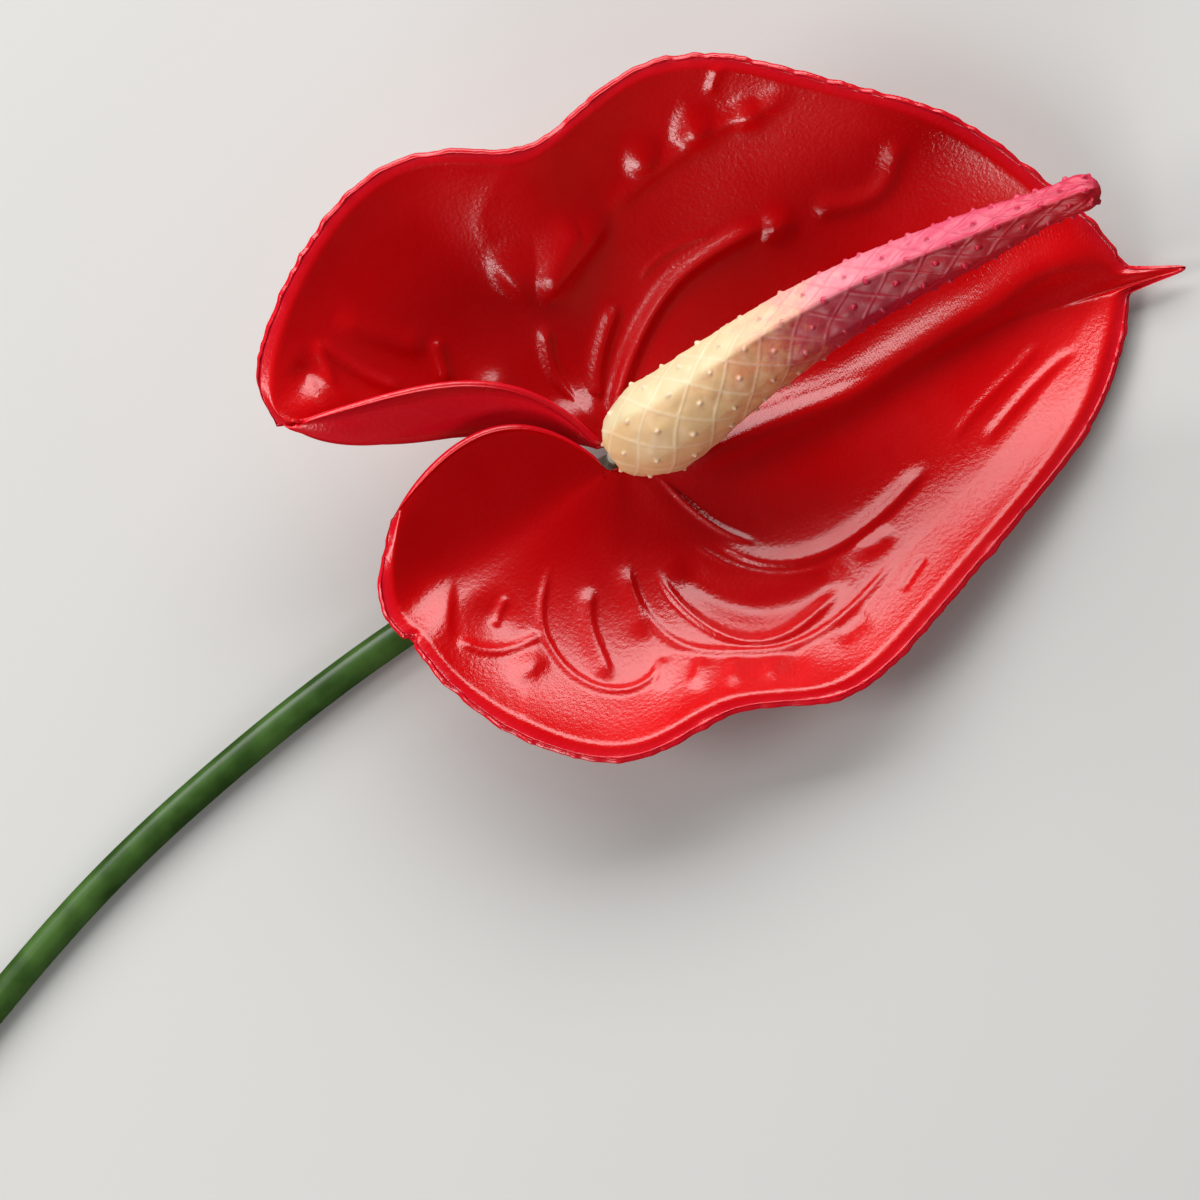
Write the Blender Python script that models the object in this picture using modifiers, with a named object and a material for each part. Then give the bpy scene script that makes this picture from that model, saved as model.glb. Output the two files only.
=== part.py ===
"""Cut anthurium flower lying on a flat surface, face up: stem, collar, spathe and spadix."""
import math

import bpy
import numpy as np
from mathutils import Matrix, Vector

MM = 0.001

# The flower is shaped as it is seen from its front, in millimetres from the heart of the spathe,
# where the stem comes through: x to the right, y up and z towards the viewer.
# These turns lay it on its back, with the stem along +X and the surface at z = 0.
TURN_IN_VIEW = math.radians(-40.0)
PITCH = math.radians(3.5)
LEAN = math.radians(13.0)

# Spathe: points round its margin, from the upper lobe's corner over the tip to the lower lobe.
MARGIN = [
    (-41.5, 3.5, 9.0), (-43.3, 7.0, 9.5), (-43.7, 11.8, 10.0), (-41.2, 19.4, 11.0),
    (-35.6, 28.8, 12.5), (-28.6, 35.4, 13.5), (-20.3, 38.0, 14.5), (-10.8, 38.2, 14.0),
    (-4.3, 42.0, 14.0), (1.5, 46.6, 14.5), (7.6, 49.6, 15.0), (17.1, 50.0, 15.0),
    (29.2, 47.2, 14.0), (42.0, 44.0, 12.0), (52.4, 38.4, 10.0), (61.6, 31.2, 8.0),
    (67.9, 24.6, 6.5), (68.3, 19.8, 6.0), (65.5, 8.8, 7.5), (58.2, -2.9, 9.5),
    (47.8, -15.0, 11.5), (36.9, -27.1, 13.0), (28.0, -31.6, 13.5), (17.8, -32.8, 13.5),
    (9.5, -36.9, 14.0), (1.3, -39.2, 14.0), (-8.9, -36.7, 13.0), (-17.9, -31.0, 11.5),
    (-23.3, -25.2, 10.0), (-26.9, -21.7, 8.5), (-28.1, -16.3, 8.0), (-26.9, -8.8, 8.0),
]
# How the ribs from the heart to those points bend: rib number, bow sideways near the heart and
# further out, and sag behind the straight line near the heart, further out and by the margin.
# The first ribs roll the upper lobe's lower edge forward into a hem.
BENDS = [
    (0.0, 6.2, 1.6, -3.0, -3.0, 0.0), (1.0, 3.5, -4.8, 0.6, -0.5, 0.0), (2.0, 0.5, -2.5, 2.5, 1.5, 0.0),
    (3.0, 0.0, 0.0, 3.4, 2.5, 0.5), (6.0, 0.0, 0.0, 4.6, 3.0, 1.0), (11.0, 0.0, 0.0, 5.0, 3.0, 1.0),
    (14.0, 0.0, 0.0, 3.2, 2.4, 1.0), (16.5, 0.0, 0.0, 1.5, 1.5, 0.8), (19.0, 0.0, 0.0, 2.0, 3.4, 1.8),
    (21.0, 0.0, 0.0, 2.0, 4.6, 2.0), (24.0, 0.0, 0.0, 2.6, 4.4, 1.8), (26.0, 0.0, 0.0, 1.8, 4.2, 1.2),
    (28.0, 0.3, 0.0, 1.0, 3.8, 0.4), (29.8, 2.2, 1.3, 0.0, 2.0, 0.0), (31.0, 5.7, 3.6, -2.5, -1.5, 0.0),
]
# Powers of the curve for the sag by the margin, and what scales both curves' peaks to 1.
RIM_POWER = 6
RIM_SCALE = 7.0 ** 7 / 6.0 ** 6
BOW_SCALE = 6.75
TIP_RIB = 16.45
SPIKE = (6.6, 1.4, 0.0)
SPIKE_RIBS = 0.25
SPIKE_POWER = 8
HEART = (1.7, -0.25)
HEART_RADIUS = 1.8
HEART_TURN = 0.72
SHEET_THICKNESS = 1.2
RIB_COUNT = 96
RING_COUNT = 14
MARGIN_STEPS = 4000

# Spadix: points along its middle with the radius at each, from its seat on the heart to its tip.
SPADIX = [
    (2.7, 0.8, 2.3, 1.2), (3.2, 1.1, 2.8, 3.3), (4.4, 1.8, 4.0, 5.0), (6.4, 2.9, 5.6, 6.0),
    (9.0, 4.4, 7.4, 6.2), (15.0, 8.8, 11.0, 5.6), (22.0, 13.6, 15.0, 5.1), (30.0, 18.4, 19.4, 4.5),
    (39.0, 22.8, 24.5, 3.8), (49.0, 27.0, 30.2, 3.0), (57.6, 30.4, 35.0, 2.2),
    (58.8, 30.9, 35.7, 1.9), (59.3, 31.1, 36.0, 1.1),
]

# Stem and collar: points along the middle with the radius at each, as they lie on the surface,
# in millimetres from the foot of the heart. The stem's last point is its cut end.
STEM = [
    (-4.4, -1.0, 2.1, 2.1), (-12.0, -1.3, 2.1, 2.1), (-20.0, -1.1, 2.1, 2.1),
    (-40.0, 0.8, 2.1, 2.1), (-63.0, 1.7, 2.1, 2.1), (-87.0, 0.6, 2.12, 2.12), (-110.0, -3.0, 2.15, 2.15),
    (-150.0, -11.5, 2.2, 2.2), (-200.0, -22.5, 2.3, 2.3), (-250.0, -32.5, 2.35, 2.35),
    (-293.0, -40.0, 2.4, 2.4),
]
STEM_POINTS = 40
COLLAR = [
    (-3.6, -1.0, 2.1, 2.05), (-2.7, -1.0, 2.35, 2.3), (-1.2, -1.0, 2.9, 2.2), (0.0, -1.05, 4.0, 1.8),
    (0.7, -1.1, 5.4, 1.2), (1.2, -1.15, 7.3, 0.9), (1.9, -1.35, 9.8, 0.95),
]
COLLAR_POINTS = 14
TUBE_BEVEL_RESOLUTION = 4


def clear_scene():
    for item in list(bpy.data.objects):
        bpy.data.objects.remove(item, do_unlink=True)


def make_collection(name):
    collection = bpy.data.collections.new(name)
    bpy.context.scene.collection.children.link(collection)
    return collection


def make_material(name, color, roughness):
    material = bpy.data.materials.new(name)
    material.use_nodes = True
    shader = material.node_tree.nodes["Principled BSDF"]
    shader.inputs["Base Color"].default_value = (*color, 1.0)
    shader.inputs["Roughness"].default_value = roughness
    shader.inputs["Metallic"].default_value = 0.0
    return material


def smooth_curve(knots, values, places):
    """Natural cubic curve through values at rising knots, read at places."""
    knots = np.asarray(knots, float)
    values = np.asarray(values, float)
    places = np.asarray(places, float)
    count = len(knots)
    gaps = np.diff(knots)
    slopes = np.diff(values, axis=0) / gaps[:, None]
    system = np.eye(count)
    right = np.zeros_like(values)
    for i in range(1, count - 1):
        system[i, i - 1:i + 2] = gaps[i - 1], 2.0 * (gaps[i - 1] + gaps[i]), gaps[i]
        right[i] = 3.0 * (slopes[i] - slopes[i - 1])
    curve = np.linalg.solve(system, right)
    span = np.clip(np.searchsorted(knots, places, side="right") - 1, 0, count - 2)
    step = (places - knots[span])[:, None]
    gap = gaps[span][:, None]
    linear = slopes[span] - gap * (2.0 * curve[span] + curve[span + 1]) / 3.0
    cubic = (curve[span + 1] - curve[span]) / (3.0 * gap)
    return values[span] + step * (linear + step * (curve[span] + step * cubic))


def along(points, count):
    """Evenly spaced points on a smooth curve through the given points."""
    points = np.asarray(points, float)
    lengths = np.linalg.norm(np.diff(points[:, :3], axis=0), axis=1)
    knots = np.concatenate([[0.0], np.cumsum(lengths)])
    return smooth_curve(knots, points, np.linspace(0.0, knots[-1], count))


def margin_at(ribs):
    return smooth_curve(range(len(MARGIN)), MARGIN, ribs)


def spike_at(ribs):
    return np.exp(-((ribs - TIP_RIB) / SPIKE_RIBS) ** 2)[:, None] * np.array(SPIKE)


def even_ribs(count):
    """Rib numbers at even distances along the margin, its spike included."""
    fine = np.linspace(0.0, len(MARGIN) - 1.0, MARGIN_STEPS)
    edge = margin_at(fine) + spike_at(fine)
    walked = np.concatenate([[0.0], np.cumsum(np.linalg.norm(np.diff(edge, axis=0), axis=1))])
    return np.interp(np.linspace(0.0, walked[-1], count), walked, fine)


def spathe_points(rib_count, ring_count):
    """Grid of points on the spathe's front, rib by rib from the heart to the margin."""
    ribs = even_ribs(rib_count)
    edge = margin_at(ribs)
    bends = np.array(BENDS)
    bow_near, bow_far, sag_near, sag_far, sag_rim = smooth_curve(
        bends[:, 0], bends[:, 1:], ribs).T[:, :, None, None]
    direction = np.unwrap(np.arctan2(edge[:, 1] - HEART[1], edge[:, 0] - HEART[0]))
    full_turn = 2.0 * math.pi
    direction -= full_turn * round(direction[rib_count // 2] / full_turn)
    start = np.zeros_like(edge)
    start[:, 0] = HEART[0] + HEART_RADIUS * np.cos(HEART_TURN * direction)
    start[:, 1] = HEART[1] + HEART_RADIUS * np.sin(HEART_TURN * direction)
    chord = edge - start
    side = np.stack([chord[:, 1], -chord[:, 0], np.zeros(rib_count)], axis=1)
    side /= np.linalg.norm(side, axis=1)[:, None]
    run = np.linspace(0.0, 1.0, ring_count)[None, :, None]
    near = BOW_SCALE * run * (1.0 - run) ** 2
    far = BOW_SCALE * run ** 2 * (1.0 - run)
    rim = RIM_SCALE * run ** RIM_POWER * (1.0 - run)
    forward = np.array([0.0, 0.0, 1.0])
    points = start[:, None] + run * chord[:, None]
    points = points + side[:, None] * (near * bow_near + far * bow_far)
    points = points - forward * (near * sag_near + far * sag_far + rim * sag_rim)
    return points + run ** SPIKE_POWER * spike_at(ribs)[:, None]


def flower_turn():
    """Turn from the front view to the lying pose."""
    return (Matrix.Rotation(LEAN, 4, "X") @ Matrix.Rotation(PITCH, 4, "Y")
            @ Matrix.Rotation(TURN_IN_VIEW, 4, "Z"))


def add_spathe(collection, material):
    """One sheet lofted over the ribs and thickened behind its front."""
    points = spathe_points(RIB_COUNT, RING_COUNT)
    verts = [tuple(point * MM) for point in points.reshape(-1, 3)]
    faces = []
    for rib in range(RIB_COUNT - 1):
        for ring in range(RING_COUNT - 1):
            corner = rib * RING_COUNT + ring
            faces.append((corner, corner + RING_COUNT, corner + RING_COUNT + 1, corner + 1))
    mesh = bpy.data.meshes.new("spathe")
    mesh.from_pydata(verts, [], faces)
    mesh.shade_smooth()
    mesh.materials.append(material)
    spathe = bpy.data.objects.new("spathe", mesh)
    collection.objects.link(spathe)
    shell = spathe.modifiers.new("thickness", "SOLIDIFY")
    shell.thickness = SHEET_THICKNESS * MM
    shell.offset = -1.0
    return spathe


def add_tube(name, points, collection, material):
    """A round piece whose radius changes from point to point along its middle."""
    curve = bpy.data.curves.new(name, "CURVE")
    curve.dimensions = "3D"
    curve.bevel_depth = MM
    curve.bevel_resolution = TUBE_BEVEL_RESOLUTION
    curve.use_fill_caps = True
    spline = curve.splines.new("POLY")
    spline.points.add(len(points) - 1)
    for spot, (x, y, z, radius) in zip(spline.points, points):
        spot.co = (x * MM, y * MM, z * MM, 1.0)
        spot.radius = radius
    spline.use_smooth = True
    curve.materials.append(material)
    tube = bpy.data.objects.new(name, curve)
    collection.objects.link(tube)
    return tube


def bounds(items):
    """Lowest and highest corner of the finished shapes in the world."""
    bpy.context.view_layer.update()
    graph = bpy.context.evaluated_depsgraph_get()
    corners = []
    for item in items:
        ready = item.evaluated_get(graph)
        mesh = ready.to_mesh()
        corners.extend(item.matrix_world @ vert.co for vert in mesh.vertices)
        ready.to_mesh_clear()
    low = Vector([min(corner[axis] for corner in corners) for axis in range(3)])
    high = Vector([max(corner[axis] for corner in corners) for axis in range(3)])
    return low, high


def main():
    clear_scene()
    collection = make_collection("cut_anthurium_stem")
    red = make_material("spathe_red", (0.42, 0.004, 0.006), 0.3)
    pink = make_material("spadix_cream_to_pink", (0.72, 0.35, 0.22), 0.45)
    green = make_material("stem_green", (0.06, 0.13, 0.02), 0.4)
    pale = make_material("collar_grey_green", (0.45, 0.5, 0.42), 0.5)

    spathe = add_spathe(collection, red)
    spadix = add_tube("spadix", SPADIX, collection, pink)
    turn = flower_turn()
    for piece in (spathe, spadix):
        piece.matrix_world = turn
    # The flower is set down until the spathe touches the surface.
    foot = -bounds([spathe])[0].z
    for piece in (spathe, spadix):
        piece.matrix_world = Matrix.Translation((0.0, 0.0, foot)) @ turn

    stem = add_tube("stem", along(STEM, STEM_POINTS), collection, green)
    collar = add_tube("stem_collar", along(COLLAR, COLLAR_POINTS), collection, pale)

    # The middle of the whole flower's underside becomes the origin.
    pieces = (spathe, spadix, stem, collar)
    low, high = bounds(pieces)
    middle = (low + high) / 2.0
    for piece in pieces:
        piece.matrix_world = Matrix.Translation((-middle.x, -middle.y, -low.z)) @ piece.matrix_world


main()
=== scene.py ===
import math
import bpy
import numpy as np
from mathutils import Matrix, Vector


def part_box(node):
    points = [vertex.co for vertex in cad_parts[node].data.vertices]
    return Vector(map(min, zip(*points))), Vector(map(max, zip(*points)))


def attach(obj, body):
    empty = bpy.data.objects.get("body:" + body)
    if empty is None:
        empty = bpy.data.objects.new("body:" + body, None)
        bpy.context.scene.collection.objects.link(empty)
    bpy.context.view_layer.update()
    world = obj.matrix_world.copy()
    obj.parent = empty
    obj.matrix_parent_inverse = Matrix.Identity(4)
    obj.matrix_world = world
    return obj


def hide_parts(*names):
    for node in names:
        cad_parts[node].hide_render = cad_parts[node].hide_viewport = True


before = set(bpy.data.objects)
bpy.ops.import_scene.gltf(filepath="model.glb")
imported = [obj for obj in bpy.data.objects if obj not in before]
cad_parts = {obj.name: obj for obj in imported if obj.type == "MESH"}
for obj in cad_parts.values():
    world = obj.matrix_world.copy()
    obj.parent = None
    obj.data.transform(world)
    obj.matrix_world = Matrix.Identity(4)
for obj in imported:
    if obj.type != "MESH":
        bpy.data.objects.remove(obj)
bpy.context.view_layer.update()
mm = 0.001
print("frame loaded:", sorted(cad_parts))

# The flower is shaped as its front is seen, in mm from the heart where the stem comes through:
# x right, y up, z to the viewer. These turns lay it on its back with the stem along +X.
pose = {"turnInView": -40.0, "pitch": 3.5, "lean": 13.0}


def flowerTurn():
    turn = Matrix.Rotation(math.radians(pose["lean"]), 4, "X")
    turn = turn @ Matrix.Rotation(math.radians(pose["pitch"]), 4, "Y")
    return turn @ Matrix.Rotation(math.radians(pose["turnInView"]), 4, "Z")


def hexColour(code):
    # sRGB hex to the linear colour that a shader takes
    parts = [int(code[i:i + 2], 16) / 255 for i in (1, 3, 5)]
    return [p / 12.92 if p <= 0.04045 else ((p + 0.055) / 1.055) ** 2.4 for p in parts] + [1.0]


# Curves and grids
def smoothCurve(knots, values, places):
    # natural cubic curve through values at rising knots
    knots = np.asarray(knots, float)
    values = np.asarray(values, float)
    places = np.asarray(places, float)
    count = len(knots)
    gaps = np.diff(knots)
    slopes = np.diff(values, axis=0) / gaps[:, None]
    system = np.eye(count)
    right = np.zeros_like(values)
    for i in range(1, count - 1):
        system[i, i - 1:i + 2] = gaps[i - 1], 2 * (gaps[i - 1] + gaps[i]), gaps[i]
        right[i] = 3 * (slopes[i] - slopes[i - 1])
    curve = np.linalg.solve(system, right)
    span = np.clip(np.searchsorted(knots, places, side="right") - 1, 0, count - 2)
    step = (places - knots[span])[:, None]
    gap = gaps[span][:, None]
    linear = slopes[span] - gap * (2 * curve[span] + curve[span + 1]) / 3
    cubic = (curve[span + 1] - curve[span]) / (3 * gap)
    return values[span] + step * (linear + step * (curve[span] + step * cubic))


def walkedAlong(points):
    # the way walked from the first point to each
    return np.concatenate([[0.0], np.cumsum(np.linalg.norm(np.diff(points, axis=0), axis=1))])


def alongCurve(points, count):
    # evenly spaced points on a smooth curve through the given ones; a fourth value is a radius
    points = np.asarray(points, float)
    knots = walkedAlong(points[:, :3])
    return smoothCurve(knots, points, np.linspace(0, knots[-1], count))


def unit(vectors):
    return vectors / np.maximum(np.linalg.norm(vectors, axis=-1, keepdims=True), 1e-12)


def smoothStep(low, high, value):
    t = np.clip((value - low) / (high - low), 0, 1)
    return t * t * (3 - 2 * t)


def makePiece(node, verts, faces, attributes, material, matrix):
    # the piece's place goes into its mesh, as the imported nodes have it
    mesh = bpy.data.meshes.new(node)
    placed = verts * mm @ np.array(matrix.to_3x3()).T + np.array(matrix.translation)
    mesh.from_pydata(placed.tolist(), [], faces)
    mesh.shade_smooth()
    mesh.materials.append(material)
    for key, values in attributes.items():
        layer = mesh.attributes.new(key, "FLOAT", "POINT")
        layer.data.foreach_set("value", np.asarray(values, np.float32).ravel())
    piece = bpy.data.objects.new(node + "_fine", mesh)
    bpy.context.scene.collection.objects.link(piece)
    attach(piece, "root")
    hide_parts(node)
    print(node, len(mesh.vertices), "verts")
    return piece


def gridFaces(rows, cols, first=0, closed=False):
    # quads of a rows x cols grid of points, closed joins the last column to the first
    r = np.arange(rows - 1)[:, None]
    c = np.arange(cols if closed else cols - 1)[None, :]
    d = (c + 1) % cols
    corners = (r * cols + c, (r + 1) * cols + c, (r + 1) * cols + d, r * cols + d)
    return np.stack([k.ravel() for k in corners], axis=1) + first


def tubeFaces(count, around):
    # quads around a tube of points, and triangles to the pole point at each end
    ring = np.arange(around)
    last = (count - 1) * around
    caps = []
    for base, pole, turn in ((0, count * around, 1), (last, count * around + 1, -1)):
        caps.append(np.stack([base + ring, base + np.roll(ring, -turn), np.full(around, pole)], axis=1))
    return gridFaces(count, around, closed=True).tolist() + np.concatenate(caps).tolist()


# Nodes
def addNode(material, kind, settings=None, links=None):
    node = material.node_tree.nodes.new("ShaderNode" + kind)
    for key, value in (settings or {}).items():
        if key == "stops":
            ramp = node.color_ramp.elements
            while len(ramp) < len(value):
                ramp.new(0.5)
            for element, (place, code) in zip(ramp, value):
                element.position = place
                element.color = hexColour(code)
        elif isinstance(key, int) or key in node.inputs:
            node.inputs[key].default_value = value
        else:
            setattr(node, key, value)
    for key, (source, output) in (links or {}).items():
        material.node_tree.links.new(source.outputs[output], node.inputs[key])
    return node


def newMaterial(name):
    material = bpy.data.materials.new(name)
    material.use_nodes = True
    material.node_tree.nodes.clear()
    return material


def finishMaterial(material, settings, links):
    shader = addNode(material, "BsdfPrincipled", settings, links)
    addNode(material, "OutputMaterial", {}, {"Surface": (shader, "BSDF")})
    return material


# Spathe
spatheShape = {
    "margin": [
        (-41.5, 3.5, 9.0), (-43.3, 7.0, 9.5), (-43.7, 11.8, 10.0), (-41.2, 19.4, 11.0),
        (-35.6, 28.8, 12.5), (-28.6, 35.4, 13.5), (-20.3, 38.0, 14.5), (-10.8, 38.2, 14.0),
        (-4.3, 42.0, 14.0), (1.5, 46.6, 14.5), (7.6, 49.6, 15.0), (17.1, 50.0, 15.0),
        (29.2, 47.2, 14.0), (42.0, 44.0, 12.0), (52.4, 38.4, 10.0), (61.6, 31.2, 8.0),
        (67.9, 24.6, 6.5), (68.3, 19.8, 6.0), (65.5, 8.8, 7.5), (58.2, -2.9, 9.5),
        (47.8, -15.0, 11.5), (36.9, -27.1, 13.0), (28.0, -31.6, 13.5), (17.8, -32.8, 13.5),
        (9.5, -36.9, 14.0), (1.3, -39.2, 14.0), (-8.9, -36.7, 13.0), (-17.9, -31.0, 11.5),
        (-23.3, -25.2, 10.0), (-26.9, -21.7, 8.5), (-28.1, -16.3, 8.0), (-26.9, -8.8, 8.0),
    ],
    # rib, bow sideways near the heart and near the margin, sag near the heart, further out and by
    # the margin
    "bends": [
        (0.0, 6.2, 1.6, -3.0, -3.0, 0.0), (1.0, 3.5, -4.8, 0.6, -0.5, 0.0), (2.0, 0.5, -2.5, 2.5, 1.5, 0.0),
        (3.0, 0.0, 0.0, 3.4, 2.5, 0.5), (6.0, 0.0, 0.0, 4.6, 3.0, 1.0), (11.0, 0.0, 0.0, 5.0, 3.0, 1.0),
        (14.0, 0.0, 0.0, 3.2, 2.4, 1.0), (16.5, 0.0, 0.0, 1.5, 1.5, 0.8), (19.0, 0.0, 0.0, 2.0, 3.4, 1.0),
        (21.0, 0.0, 0.0, 2.2, 4.0, 0.8), (24.0, 0.0, 0.0, 2.8, 3.8, 0.6), (26.0, 0.0, 0.0, 2.0, 3.6, 0.4),
        (28.0, 0.3, 0.0, 1.0, 3.4, 0.2), (29.8, 2.2, 1.3, 0.0, 2.0, 0.0), (31.0, 5.7, 3.6, -2.5, -1.5, 0.0),
    ],
    "bowPower": 2, "rimPower": 6, "ribs": 641, "rings": 111, "ringCrowding": 0.25, "outlineSteps": 4000,
    "heart": (1.7, -0.25), "heartRadius": 1.8, "heartTurn": 0.72,
    "heartRise": 0.3,  # brings the heart up to its height in the CAD
    "tipRib": 16.45, "spike": (6.9, 1.2, 0.0), "spikeRibs": 0.17, "spikePower": 10, "spikeThinning": 0.7,
    "thickness": 1.1, "solidThickness": 1.2, "edgeThinning": 0.35, "edgeThinningWidth": 2.0,
    "lipWidth": 2.6, "lipBend": 0.8, "lipSlope": 0.55,
    "backShare": 0.85,  # how much of the relief shows on the back
    # the round edge: share of the way from front to back, push outwards in thicknesses
    "rimRound": ((0.08, 0.2), (0.28, 0.36), (0.5, 0.42), (0.72, 0.36), (0.92, 0.2)), "roundWidth": 2.5,
    # the trimmed edge's nicks: spacing and size
    "nicks": ((6.0, 0.16), (2.1, 0.2), (0.9, 0.16)), "nickWidth": 0.5, "nickSeed": 5, "marginLength": 330.0,
    "notchRib": 28.3, "notchRibs": 0.12, "notchDepth": 0.9, "notchWidth": 1.5,
}

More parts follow.
